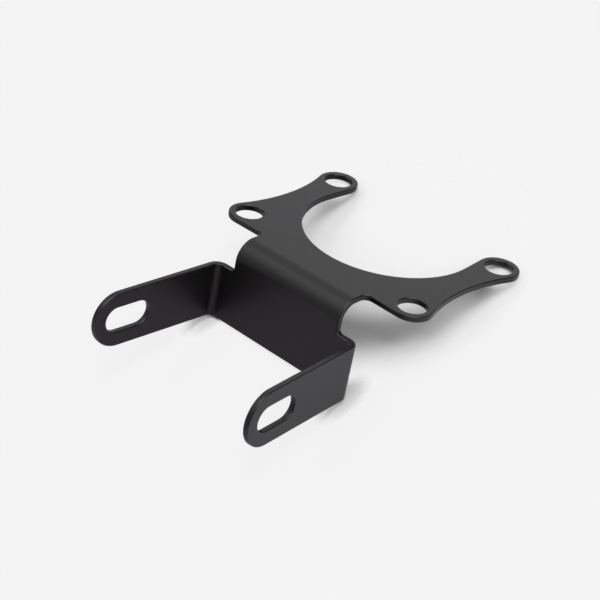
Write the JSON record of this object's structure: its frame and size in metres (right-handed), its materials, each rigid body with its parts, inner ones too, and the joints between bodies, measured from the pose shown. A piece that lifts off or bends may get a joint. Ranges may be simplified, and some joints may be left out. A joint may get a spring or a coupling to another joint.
{
  "type": "headlight mounting bracket",
  "caption": "Black folded sheet bracket for a headlight: a bolt plate round a half-round cut-out, bent down to a web with two slotted forward arms.",
  "frame": {"origin": "middle of the rectangle of plate holes, on the plate's top face", "axes": "+Z out of the plate's top face, +Y away from the arms, towards the open end of the cut-out, X across the bracket"},
  "size_m": [0.0816, 0.1133, 0.0286],
  "materials": {
    "black_coat": "satin powder coat with a fine texture"
  },
  "bodies": {
    "root": {"bracket": "black_coat"}
  },
  "joints": []
}
